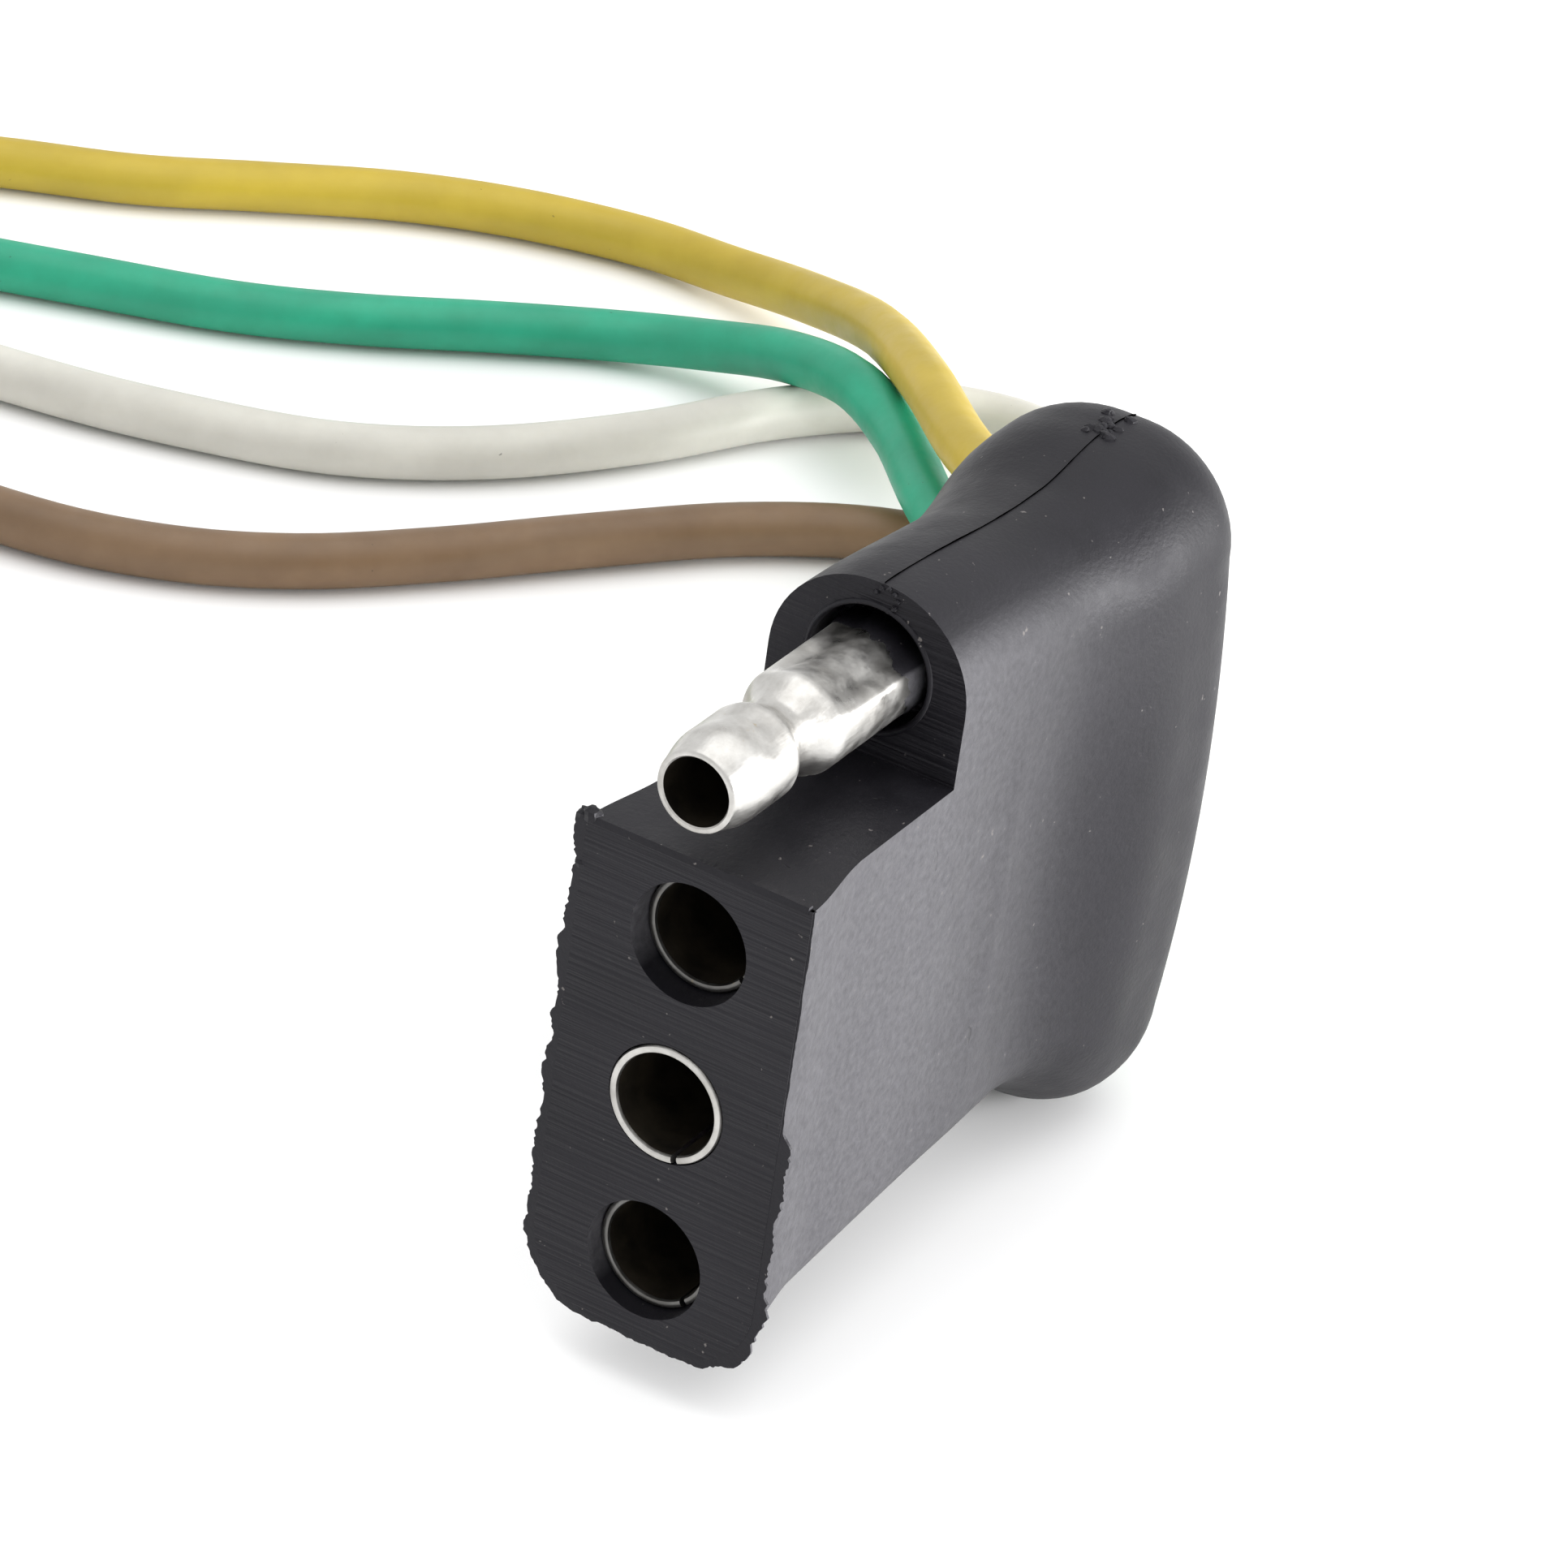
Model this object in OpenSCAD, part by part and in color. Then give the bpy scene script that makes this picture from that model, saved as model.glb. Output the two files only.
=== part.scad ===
// Flat four-way trailer wiring connector, vehicle end, with its four wires.
// Millimetres. +X is the mating direction, +Y the broad side, +Z up. The base is at Z = 0.

/* [Terminals] */
// Spacing of the four terminals
pitch = 7.5; // [7.2:0.1:8]
// Height of the uppermost socket's axis
top_socket_z = 21.2; // [21:0.1:22]
// Outer radius of a socket tube
socket_r = 2.6; // [2.5:0.05:2.7]
// Inner radius of a socket tube
socket_bore_r = 2.25; // [2.1:0.05:2.3]
// Depth of a socket tube
socket_depth = 13; // [11:0.5:14]
// Width of the slit along a socket tube
slit_w = 0.3; // [0.1:0.05:0.5]
// Radius of the ground pin's front barrel
pin_r = 2.1; // [1.9:0.05:2.1]
// Radius of the ground pin's rear barrel
pin_rear_r = 2.3; // [2.25:0.05:2.4]
// Radius of the ground pin's neck
neck_r = 1.6; // [1.5:0.05:1.8]
// How far the ground pin stands past the nose
pin_stand = 1.2; // [0.5:0.1:2]

/* [Housing] */
// Length from the nose to the flange's back
body_len = 34.8; // [34:0.2:38]
// Length of the step under the ground pin
nose_len = 12; // [10:0.5:13]
// Height of the step above the uppermost socket's axis
step_above = 3.7; // [3.4:0.1:4.2]
// Width of the nose at its face
nose_w = 10.4; // [9.8:0.2:11]
// Width of the waist
waist_w = 9.2; // [8.6:0.2:9.6]
// Width of the flange at the back, without its belly
flange_w = 12.2; // [11.8:0.2:13]
// How far each side of the flange bellies out at mid-height
belly = 0.6; // [0:0.1:0.8]
// Height of the housing
body_h = 32.6; // [32.4:0.1:33.4]
// Height of the nose's underside above the base
nose_under = 2.4; // [2:0.1:2.8]

/* [Wires] */
// Outer diameter of a wire
wire_d = 2.7; // [2.4:0.1:2.8]
// Diameter of the stranded core
core_d = 1.6; // [1.3:0.1:1.7]
// Mid-turn diameter of the coil
coil_mid_d = 32.4; // [31:0.2:34]
// Width of a tie round the coil
tie_w = 2.6; // [2:0.2:4]

/* [Hidden] */
$fn = 64;
gap = 0.05;
back_x = -(body_len + pin_stand) / 2;
nose_x = back_x + body_len;
boss_x = nose_x - nose_len;
pin_z = top_socket_z + pitch;
brown_z = top_socket_z;
yellow_z = brown_z - pitch;
green_z = yellow_z - pitch;
// where the sockets' tubes, the crimps and the insulation end
tube_end_x = 3;
crimp_end_x = -3;
grip_end_x = -6;
crimp_r = 1.7;
grip_r = 1.75;
tie_t = 0.6;
// the wider mouth of the ground pin's hole in the boss
boss_hole_r = 2.75;
boss_hole_depth = 2;
// the uppermost wire slopes down inside the moulding to leave lower than its pin
white_drop = 4.5;
coil_x = -20.2;
coil_y = -112;
coil_in = coil_mid_d / 2 - 2 * wire_d;
coil_out = coil_mid_d / 2 + 2 * wire_d;
rest_z = wire_d / 2;
// the free wires, from the flange's back to the coil
white_route = [[back_x, 0, 24.2], [-22.5, -0.7, 23], [-29, -3, 20.6], [-36.5, -6.8, 16.9],
  [-44, -10.8, 12.8], [-52, -15.2, 8.5], [-59.4, -19.6, 4.9], [-64.2, -24, 2.2], [-66, -29.2, 1.4],
  [-63.6, -34.4, rest_z], [-58.2, -38.6, rest_z], [-51.4, -42, rest_z], [-44.4, -46.8, rest_z],
  [-39.4, -52.5, rest_z], [-36.4, -59.5, rest_z], [-34.4, -67, rest_z], [-33.2, -76.5, rest_z],
  [-34.4, -88, rest_z], [-35.1, -99, rest_z], [-35.1, -112, rest_z]];
brown_route = [[back_x, 0, 21.2], [-22.5, 0.2, 20.2], [-28, -0.8, 16.9], [-33.5, -3.4, 12.8],
  [-39.5, -7.8, 8.8], [-45.5, -12.8, 5.2], [-50.6, -17.8, 2.7], [-52.6, -22.8, 1.5],
  [-51, -28.2, rest_z], [-46.6, -33.4, rest_z], [-40.4, -38.2, rest_z], [-34, -42.8, rest_z],
  [-28.6, -47.4, rest_z], [-24.8, -52.6, rest_z], [-22.5, -59, rest_z], [-21.9, -68, rest_z],
  [-24.4, -79.5, rest_z], [-29.2, -91, rest_z], [-32, -102, rest_z], [-32.4, -112, rest_z]];
yellow_route = [[back_x, 0, 13.7], [-23, -0.6, 13.7], [-28.9, -4.2, 13.3], [-36, -10, 12.1],
  [-42.6, -16.6, 10.6], [-48.6, -23, 9.1], [-55.4, -29.1, 7.9], [-62.6, -35.6, 5.6], [-67.6, -42.3, 3.1],
  [-69.7, -48.4, 1.7], [-69.9, -53.8, rest_z], [-68, -60.2, rest_z], [-65, -66, rest_z],
  [-60.6, -71.8, rest_z], [-56.5, -77, rest_z], [-52.8, -83.5, rest_z], [-47.7, -91, rest_z],
  [-43.2, -98.5, rest_z], [-40.8, -105.5, rest_z], [-40.5, -112, rest_z]];
green_route = [[back_x, 0, 6.2], [-23.1, -0.3, 6.2], [-29.2, -3.6, 6], [-36.2, -10.4, 5.5], [-42.8, -18, 5.3],
  [-49, -24.6, 5.2], [-54.4, -29.6, 5], [-57.6, -34, 5], [-59.9, -39, 3.8], [-60.8, -44.2, 2.2],
  [-59.3, -49.4, 1.4], [-55.8, -54.3, rest_z], [-51.7, -59.5, rest_z], [-48.2, -65, rest_z],
  [-45.2, -72, rest_z], [-42.2, -79.5, rest_z], [-39.8, -87.5, rest_z], [-38.1, -96, rest_z],
  [-37.8, -105, rest_z], [-37.8, -112, rest_z]];

// a cylinder along X from x0 to x1
module rod(x0, x1, r, z) {
  translate([min(x0, x1), 0, z]) rotate([0, 90, 0]) cylinder(h = abs(x1 - x0), r = r);
}

// a rod that leaves the ground pin's crimp level and slopes down to the flange's back
module sloped(r, past) {
  run = grip_end_x - 0.5 - back_x;
  rod(crimp_end_x - 0.1, grip_end_x - 0.5, r, pin_z);
  translate([grip_end_x - 0.5, 0, pin_z]) sphere(r = r);
  intersection() {
    translate([grip_end_x - 0.5, 0, pin_z]) rotate([0, -90 - atan(white_drop / run), 0])
      cylinder(h = 20, r = r);
    translate([back_x - past, -5, 0]) cube([run + past, 10, 40]);
  }
}

// 0 before a, 1 after b, and smooth between
function ease(s, a, b) = let (t = max(0, min(1, (s - a) / (b - a)))) t * t * (3 - 2 * t);
function mix(a, b, t) = a + (b - a) * t;

// how far the lip's rear edge is rounded in, s from the nose's face
function lip_in(s) = let (t = max(0, (s - body_len + 3.6) / 3.6)) 2.3 * (1 - sqrt(1 - 0.98 * t * t));
function half_w(s) = mix(mix(nose_w, waist_w, ease(s, 0, 5)), flange_w, ease(s, 21, 29)) / 2 - lip_in(s);
function under(s) = mix(mix(nose_under, nose_under + 1.4, ease(s, -4, 20)), 0, ease(s, 23, 31)) + lip_in(s);
function over(s) = body_h - 0.9 * ease(s, 12, 24) + 0.7 * ease(s, 25, 30) - lip_in(s);
function low_r(s) = mix(3.4, 5.2, ease(s, 20, 30)) - lip_in(s) / 2;
function high_r(s) = mix(4.4, 5, ease(s, 20, 30)) - lip_in(s) / 2;

function arc(cy, cz, r, a0, x) =
  [for (i = [0:8]) let (a = a0 + i * 11.25) [x, cy + r * cos(a), cz + r * sin(a)]];

// points up a side that bellies out from (y0, z0) to (y1, z1)
function side(y0, z0, y1, z1, out, x) =
  [for (i = [1:5]) let (t = i / 6) [x, mix(y0, y1, t) + out * 4 * t * (1 - t), mix(z0, z1, t)]];

// the housing's outline at a distance s behind the nose's face
function section(s) =
  let (x = nose_x - s, w = half_w(s), top_w = w - 0.25 * ease(s, 21, 29), out = belly * ease(s, 21, 29))
  let (lo = low_r(s), hi = min(high_r(s), top_w - 0.1), z0 = under(s) + lo, z1 = over(s) - hi)
  concat(arc(w - lo, z0, lo, -90, x), side(w, z0, top_w, z1, out, x), arc(top_w - hi, z1, hi, 0, x),
    arc(hi - top_w, z1, hi, 90, x), side(-top_w, z1, -w, z0, -out, x), arc(lo - w, z0, lo, 180, x));

// a closed skin over a list of rings with the same number of points
module skin(rings) {
  n = len(rings[0]);
  m = len(rings);
  polyhedron(
    points = [for (ring = rings) for (p = ring) p],
    faces = concat([[for (j = [0:n - 1]) j]], [[for (j = [n - 1:-1:0]) (m - 1) * n + j]],
      [for (i = [0:m - 2]) for (j = [0:n - 1])
        each [[i * n + j, (i + 1) * n + j, (i + 1) * n + (j + 1) % n],
          [i * n + j, (i + 1) * n + (j + 1) % n, i * n + (j + 1) % n]]]));
}

module housing() color([0.13, 0.125, 0.13]) {
  stations = [0, 1, 2, 3, 4, 5, 8, 12, 16, 20, 21.5, 23, 24.5, 26, 27.5, 29, 30, 31.2, 32.2, 33, 33.7, 34.2,
    34.6, 34.8];
  difference() {
    skin([for (s = stations) section(s * body_len / 34.8)]);
    translate([boss_x, -10, top_socket_z + step_above]) cube([20, 20, 20]);
    for (z = [brown_z, yellow_z, green_z]) {
      rod(nose_x + 1, tube_end_x - gap, socket_r + gap, z);
      rod(tube_end_x, grip_end_x - gap, grip_r + gap, z);
    }
    rod(boss_x + 1, boss_x - boss_hole_depth, boss_hole_r, pin_z);
    rod(boss_x, tube_end_x - 4, pin_rear_r + gap, pin_z);
    rod(tube_end_x, grip_end_x - gap, grip_r + gap, pin_z);
    for (z = [brown_z, yellow_z, green_z]) {
      rod(grip_end_x + 1, back_x - 1, wire_d / 2 + gap, z);
    }
    sloped(wire_d / 2 + gap, 1);
  }
}

// the two crimps that hold the core and the insulation
module crimp(x0, z) {
  difference() {
    union() {
      rod(x0, crimp_end_x, crimp_r, z);
      rod(crimp_end_x, grip_end_x, grip_r, z);
    }
    rod(tube_end_x - 1.5, crimp_end_x - 1, core_d / 2 + gap, z);
    rod(crimp_end_x, grip_end_x - 1, wire_d / 2 + gap, z);
  }
}

module ground_pin() color([0.8, 0.79, 0.76]) {
  tip = nose_x + pin_stand;
  translate([0, 0, pin_z]) rotate([0, 90, 0]) rotate_extrude() polygon([
    [0, -1], [pin_rear_r, -1], [pin_rear_r, tip - 7.4], [neck_r, tip - 5.9], [neck_r, tip - 5.3],
    [pin_r, tip - 4.4], [pin_r, tip - 1.6], [pin_r - 0.25, tip - 0.2], [pin_r - 0.4, tip],
    [pin_r - 0.55, tip], [pin_r - 0.6, tip - 4.6], [0, tip - 4.6]]);
  crimp(-1, pin_z);
}

// proud is how far the tube's mouth stands out of the nose, slit_a the slit's place round it
module socket(z, proud, slit_a) color([0.8, 0.79, 0.76]) {
  mouth = nose_x + proud;
  difference() {
    rod(mouth, tube_end_x, socket_r, z);
    rod(mouth + 1, mouth - socket_depth + 1.3, socket_bore_r, z);
    translate([mouth - socket_depth + 2, 0, z]) rotate([slit_a, 0, 0])
      translate([0, 1, -slit_w / 2]) cube([socket_depth, 3, slit_w]);
    rod(tube_end_x + 2, tube_end_x - 1, core_d / 2 + gap, z);
  }
  crimp(tube_end_x, z);
}

module socket_brown() socket(brown_z, -1.2, -35);
module socket_yellow() socket(yellow_z, 0.1, -72);
module socket_green() socket(green_z, -0.9, -50);

module core(z) color([0.72, 0.45, 0.3]) rod(tube_end_x - 1.5, back_x, core_d / 2, z);
module core_white() color([0.72, 0.45, 0.3]) {
  rod(-1, grip_end_x, core_d / 2, pin_z);
  sloped(core_d / 2, 0);
}
module core_brown() core(brown_z);
module core_yellow() core(yellow_z);
module core_green() core(green_z);

module jacket(z) {
  difference() {
    rod(crimp_end_x - 0.1, back_x, wire_d / 2, z);
    rod(0, back_x - 1, core_d / 2 + gap / 2, z);
  }
}
module jacket_white() color([0.8, 0.8, 0.77]) difference() {
  sloped(wire_d / 2, 0);
  rod(0, grip_end_x, core_d / 2 + gap / 2, pin_z);
  sloped(core_d / 2 + gap / 2, 1);
}
module jacket_brown() color([0.45, 0.32, 0.25]) jacket(brown_z);
module jacket_yellow() color([0.85, 0.74, 0.27]) jacket(yellow_z);
module jacket_green() color([0.12, 0.6, 0.45]) jacket(green_z);

function unit(v) = v / norm(v);

// the ring of a wire at a point, square to its direction
function wire_ring(p, dir) =
  let (side = unit(cross(dir, [0, 0, 1])), up = cross(side, dir))
  [for (i = [0:7]) p + wire_d / 2 * (side * cos(i * 45 + 22.5) + up * sin(i * 45 + 22.5))];

module wire(route) {
  n = len(route);
  skin([for (i = [0:n - 1]) wire_ring(route[i],
    i == 0 ? [-1, 0, 0] : i == n - 1 ? [0, -1, 0] : unit(route[i + 1] - route[i - 1]))]);
}
module wire_white() color([0.8, 0.8, 0.77]) wire(white_route);
module wire_brown() color([0.45, 0.32, 0.25]) wire(brown_route);
module wire_yellow() color([0.85, 0.74, 0.27]) wire(yellow_route);
module wire_green() color([0.12, 0.6, 0.45]) wire(green_route);

module wire_coil() color([0.6, 0.6, 0.5]) translate([coil_x, coil_y, 0]) rotate_extrude()
  translate([coil_in, tie_t]) square([coil_out - coil_in, 2 * wire_d]);

// a band round the coil's turns
module coil_tie(a) color([0.1, 0.1, 0.1]) translate([coil_x, coil_y, 0]) rotate([0, 0, a]) difference() {
  translate([coil_in - tie_t, -tie_w / 2, 0])
    cube([coil_out - coil_in + 2 * tie_t, tie_w, 2 * wire_d + 2 * tie_t]);
  rotate_extrude($fn = 96) translate([coil_in, tie_t]) square([coil_out - coil_in, 2 * wire_d]);
}
module coil_tie_a() coil_tie(-100);
module coil_tie_b() coil_tie(20);

housing();
ground_pin();
socket_brown();
socket_yellow();
socket_green();
core_white();
core_brown();
core_yellow();
core_green();
jacket_white();
jacket_brown();
jacket_yellow();
jacket_green();
wire_white();
wire_brown();
wire_yellow();
wire_green();
wire_coil();
coil_tie_a();
coil_tie_b();
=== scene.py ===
import bmesh
import bpy
import math
import random
from mathutils import Matrix, Vector


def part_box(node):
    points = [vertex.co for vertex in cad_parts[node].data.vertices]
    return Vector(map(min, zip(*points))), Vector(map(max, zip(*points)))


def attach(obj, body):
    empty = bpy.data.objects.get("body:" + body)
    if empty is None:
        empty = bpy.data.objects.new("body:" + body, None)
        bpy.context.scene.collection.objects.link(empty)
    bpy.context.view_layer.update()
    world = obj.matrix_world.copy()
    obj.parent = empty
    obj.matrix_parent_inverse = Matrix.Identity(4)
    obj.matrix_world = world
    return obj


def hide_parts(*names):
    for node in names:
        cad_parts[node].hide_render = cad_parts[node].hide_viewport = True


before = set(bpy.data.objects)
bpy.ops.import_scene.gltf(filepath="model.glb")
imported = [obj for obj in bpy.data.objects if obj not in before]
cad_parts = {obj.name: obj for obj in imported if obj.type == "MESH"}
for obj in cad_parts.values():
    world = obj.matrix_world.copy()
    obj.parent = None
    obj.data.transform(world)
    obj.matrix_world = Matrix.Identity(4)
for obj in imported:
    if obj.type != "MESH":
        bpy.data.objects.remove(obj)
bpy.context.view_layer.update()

MM = 0.001
PI = math.pi


# ---- places, all from the frame ----

def middle_z(node):
    low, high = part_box(node)
    return (low[2] + high[2]) / 2


house_low, house_high = (Vector(corner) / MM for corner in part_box("housing"))
BACK_X, NOSE_X = house_low.x, house_high.x
BODY_H = house_high.z
BODY_LEN = NOSE_X - BACK_X
BOSS_X = NOSE_X - 12
COLOURS = ("white", "brown", "yellow", "green")
AXIS_Z = {colour: middle_z(f"core_{colour}") / MM for colour in COLOURS[1:]}
AXIS_Z["white"] = middle_z("ground_pin") / MM
PIN_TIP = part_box("ground_pin")[1][0] / MM
WIRE_D = 2.7
REST_Z = WIRE_D / 2
ROOM = 0.06  # the clearance round a terminal or a wire in its hole
STEP_Z = AXIS_Z["brown"] + 3.7
SOCKET_R = 2.6
BORE_R = 2.25
PIN_R = 2.1
PIN_REAR_R = 2.3
BOSS_HOLE_R = 2.75
PIN_BORE_R = 1.45


# ---- small tools ----

def ease(s, a, b):
    t = max(0.0, min(1.0, (s - a) / (b - a)))
    return t * t * (3 - 2 * t)


def mix(a, b, t):
    return a + (b - a) * t


def bump_at(s, centre, half):
    """1 at the centre and 0 beyond half either side."""
    t = abs(s - centre) / half
    return 0.0 if t >= 1 else (1 - t * t) ** 2


def new_piece(name, points, faces, material, smooth=True, slot=None):
    """A mesh piece from points in millimetres."""
    mesh = bpy.data.meshes.new(name)
    mesh.from_pydata([Vector(p) * MM for p in points], [], faces)
    mesh.validate()
    bm = bmesh.new()
    bm.from_mesh(mesh)
    bmesh.ops.recalc_face_normals(bm, faces=bm.faces)
    bm.to_mesh(mesh)
    bm.free()
    piece = bpy.data.objects.new(name, mesh)
    bpy.context.collection.objects.link(piece)
    mesh.materials.append(material)
    mesh.polygons.foreach_set("use_smooth", [smooth] * len(mesh.polygons))
    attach(piece, "root")
    return piece


def skin(rings, closed_ends=True):
    """Points and faces of a closed skin over rings with the same number of points."""
    n = len(rings[0])
    points = [p for ring in rings for p in ring]
    faces = []
    for i in range(len(rings) - 1):
        for j in range(n):
            k = (j + 1) % n
            faces.append((i * n + j, (i + 1) * n + j, (i + 1) * n + k, i * n + k))
    if closed_ends:
        faces.append(tuple(range(n)))
        faces.append(tuple((len(rings) - 1) * n + j for j in range(n - 1, -1, -1)))
    return points, faces


def lathe_rings(profile, z, radius=None, n=96):
    """Rings round the X axis at height z. profile is (x, r); radius may change r by angle."""
    rings = []
    for x, r in profile:
        ring = []
        for j in range(n):
            a = 2 * PI * j / n
            q = radius(x, r, a) if radius else r
            ring.append((x, q * math.cos(a), z + q * math.sin(a)))
        rings.append(ring)
    return rings


def apply_modifiers(piece):
    graph = bpy.context.evaluated_depsgraph_get()
    mesh = bpy.data.meshes.new_from_object(piece.evaluated_get(graph))
    old = piece.data
    piece.modifiers.clear()
    piece.data = mesh
    bpy.data.meshes.remove(old)


def cut(piece, points, faces):
    """Takes a closed shape, given in millimetres, away from a piece."""
    mesh = bpy.data.meshes.new("cutter")
    mesh.from_pydata([Vector(p) * MM for p in points], [], faces)
    bm = bmesh.new()
    bm.from_mesh(mesh)
    bmesh.ops.recalc_face_normals(bm, faces=bm.faces)
    bm.to_mesh(mesh)
    bm.free()
    tool = bpy.data.objects.new("cutter", mesh)
    bpy.context.collection.objects.link(tool)
    step = piece.modifiers.new("cut", "BOOLEAN")
    step.object = tool
    step.operation = "DIFFERENCE"
    step.solver = "EXACT"
    apply_modifiers(piece)
    bpy.data.objects.remove(tool)
    bpy.data.meshes.remove(mesh)


def smooth_by_angle(piece, degrees):
    """Smooth shading with sharp edges kept sharp."""
    bm = bmesh.new()
    bm.from_mesh(piece.data)
    bmesh.ops.remove_doubles(bm, verts=bm.verts, dist=1e-6)
    limit = math.radians(degrees)
    for face in bm.faces:
        face.smooth = True
    for edge in bm.edges:
        edge.smooth = edge.calc_face_angle(0.0) < limit
    bm.to_mesh(piece.data)
    bm.free()


# ---- materials ----

class Nodes:
    """A short way to build a material's nodes."""

    def __init__(self, name):
        self.material = bpy.data.materials.new(name)
        self.material.use_nodes = True
        self.tree = self.material.node_tree
        self.shader = self.tree.nodes["Principled BSDF"]
        self.place = self.tree.nodes.new("ShaderNodeTexCoord").outputs["Object"]

    def add(self, kind, **values):
        node = self.tree.nodes.new(kind)
        for key, value in values.items():
            if hasattr(node, key):
                setattr(node, key, value)
            else:
                node.inputs[key].default_value = value
        return node

    def link(self, a, b):
        self.tree.links.new(a, b)

    def noise(self, scale, detail=4.0, rough=0.55, stretch=(1, 1, 1), place=None):
        mapping = self.add("ShaderNodeMapping")
        mapping.inputs["Scale"].default_value = stretch
        self.link(place or self.place, mapping.inputs["Vector"])
        node = self.add("ShaderNodeTexNoise")
        node.inputs["Scale"].default_value = scale
        node.inputs["Detail"].default_value = detail
        node.inputs["Roughness"].default_value = rough
        self.link(mapping.outputs["Vector"], node.inputs["Vector"])
        return node.outputs["Fac"]

    def ramp(self, source, stops):
        node = self.add("ShaderNodeValToRGB")
        band = node.color_ramp
        band.elements[0].position, band.elements[0].color = stops[0]
        band.elements[1].position, band.elements[1].color = stops[-1]
        for place, colour in stops[1:-1]:
            band.elements.new(place).color = colour
        self.link(source, node.inputs["Fac"])
        return node.outputs["Color"]

    def blend(self, factor, a, b):
        node = self.add("ShaderNodeMix", data_type="RGBA")
        self.link(factor, node.inputs[0])
        for value, index in ((a, 6), (b, 7)):
            if isinstance(value, tuple):
                node.inputs[index].default_value = value
            else:
                self.link(value, node.inputs[index])
        return node.outputs[2]

    def span(self, source, low, high, a=0.0, b=1.0):
        node = self.add("ShaderNodeMapRange")
        for key, value in (("From Min", a), ("From Max", b), ("To Min", low), ("To Max", high)):
            node.inputs[key].default_value = value
        self.link(source, node.inputs["Value"])
        return node.outputs["Result"]

    def sum(self, a, b, kind="ADD"):
        """Two values added, or joined by another kind of sum."""
        node = self.add("ShaderNodeMath", operation=kind)
        for value, index in ((a, 0), (b, 1)):
            if isinstance(value, (int, float)):
                node.inputs[index].default_value = value
            else:
                self.link(value, node.inputs[index])
        return node.outputs[0]

    def bump(self, height, distance, strength=1.0):
        node = self.add("ShaderNodeBump")
        node.inputs["Distance"].default_value = distance
        node.inputs["Strength"].default_value = strength
        self.link(height, node.inputs["Height"])
        self.link(node.outputs["Normal"], self.shader.inputs["Normal"])

    def colour(self, source):
        self.link(source, self.shader.inputs["Base Color"])

    def roughness(self, source):
        self.link(source, self.shader.inputs["Roughness"])


def rgb(r, g, b):
    return (r, g, b, 1.0)


BLACK, WHITE = rgb(0, 0, 0), rgb(1, 1, 1)


def painted_side_sheen_mask(m):
    """Where the painted sheen lies: a pale, mottled tint on the broad sides that stands in for light falling
    on them, fading out from the nose to the waist.
    """
    split_place = m.add("ShaderNodeSeparateXYZ")
    m.link(m.place, split_place.inputs[0])
    split_normal = m.add("ShaderNodeSeparateXYZ")
    m.link(m.add("ShaderNodeTexCoord").outputs["Normal"], split_normal.inputs[0])
    along = m.span(split_place.outputs[0], 0.0, 1.0, -0.012, 0.006)
    facing = m.span(m.sum(split_normal.outputs[1], 0.0, "ABSOLUTE"), 0.0, 1.0, 0.7, 0.99)
    speckle = m.span(m.noise(2600, 4, 0.6), 0.34, 0.60, 0.3, 0.7)
    return m.sum(m.sum(along, facing, "MULTIPLY"), speckle, "MULTIPLY")


def rubber_material(name, lines=0.0):
    """Black moulded PVC with matt grain, a painted sheen on the broad sides, dust and small nicks. lines adds
    mould marks.
    """
    m = Nodes(name)
    darkest, lightest = rgb(0.006, 0.0057, 0.0078), rgb(0.011, 0.0104, 0.0135)
    cloud = m.ramp(m.noise(260, 5, 0.6), [(0.3, darkest), (0.7, lightest)])
    nick = m.ramp(m.noise(620, 2, 0.5, stretch=(1.6, 1, 0.7)), [(0.215, WHITE), (0.235, BLACK)])
    marked = m.blend(nick, cloud, rgb(0.003, 0.003, 0.003))
    dust = m.ramp(m.noise(2600, 2, 0.5), [(0.735, BLACK), (0.77, WHITE)])
    # painted sheen: the broad sides are tinted pale near the nose, where light falls on them
    with_painted_sheen = m.blend(painted_side_sheen_mask(m), marked, rgb(0.155, 0.152, 0.165))
    m.colour(m.blend(dust, with_painted_sheen, rgb(0.13, 0.12, 0.115)))
    m.roughness(m.span(m.noise(520, 4), 0.44, 0.56, 0.3, 0.7))
    m.shader.inputs["Specular IOR Level"].default_value = 0.27
    m.shader.inputs["Specular Tint"].default_value = rgb(0.97, 0.955, 1.0)
    grain = m.sum(m.noise(4200, 3, 0.6), 1.6, "MULTIPLY")
    height = m.sum(grain, m.sum(m.noise(700, 3), 0.8, "MULTIPLY"))
    height = m.sum(height, m.sum(nick, -3.0, "MULTIPLY"))
    if lines:
        marks = m.noise(1500, 2, 0.5, stretch=(1, 0.05, 3.0))
        height = m.sum(height, m.sum(marks, lines, "MULTIPLY"))
    m.bump(height, 0.00003, 0.5)
    return m.material


def tin_material(name, tone, dull=0.0):
    """Tin plate over brass: cloudy, scratched, and worn to brass here and there. tone is its lightness."""
    m = Nodes(name)
    low, high = ([tone * c for c in shade] for shade in ((0.58, 0.56, 0.525), (0.96, 0.945, 0.91)))
    cloud = m.ramp(m.noise(420, 5, 0.65), [(0.3, rgb(*low)), (0.62, rgb(*high))])
    worn = m.ramp(m.noise(760, 4, 0.7), [(0.66, BLACK), (0.74, WHITE)])
    m.colour(m.blend(worn, cloud, rgb(0.42, 0.34, 0.2)))
    m.shader.inputs["Metallic"].default_value = 1.0
    m.roughness(m.span(m.noise(900, 4), 0.2 + dull, 0.42 + dull, 0.3, 0.7))
    scratches = m.noise(1500, 4, 0.6, stretch=(0.12, 1, 1))
    m.bump(m.sum(m.noise(700, 3), scratches), 0.00005, 0.5)
    return m.material


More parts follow.
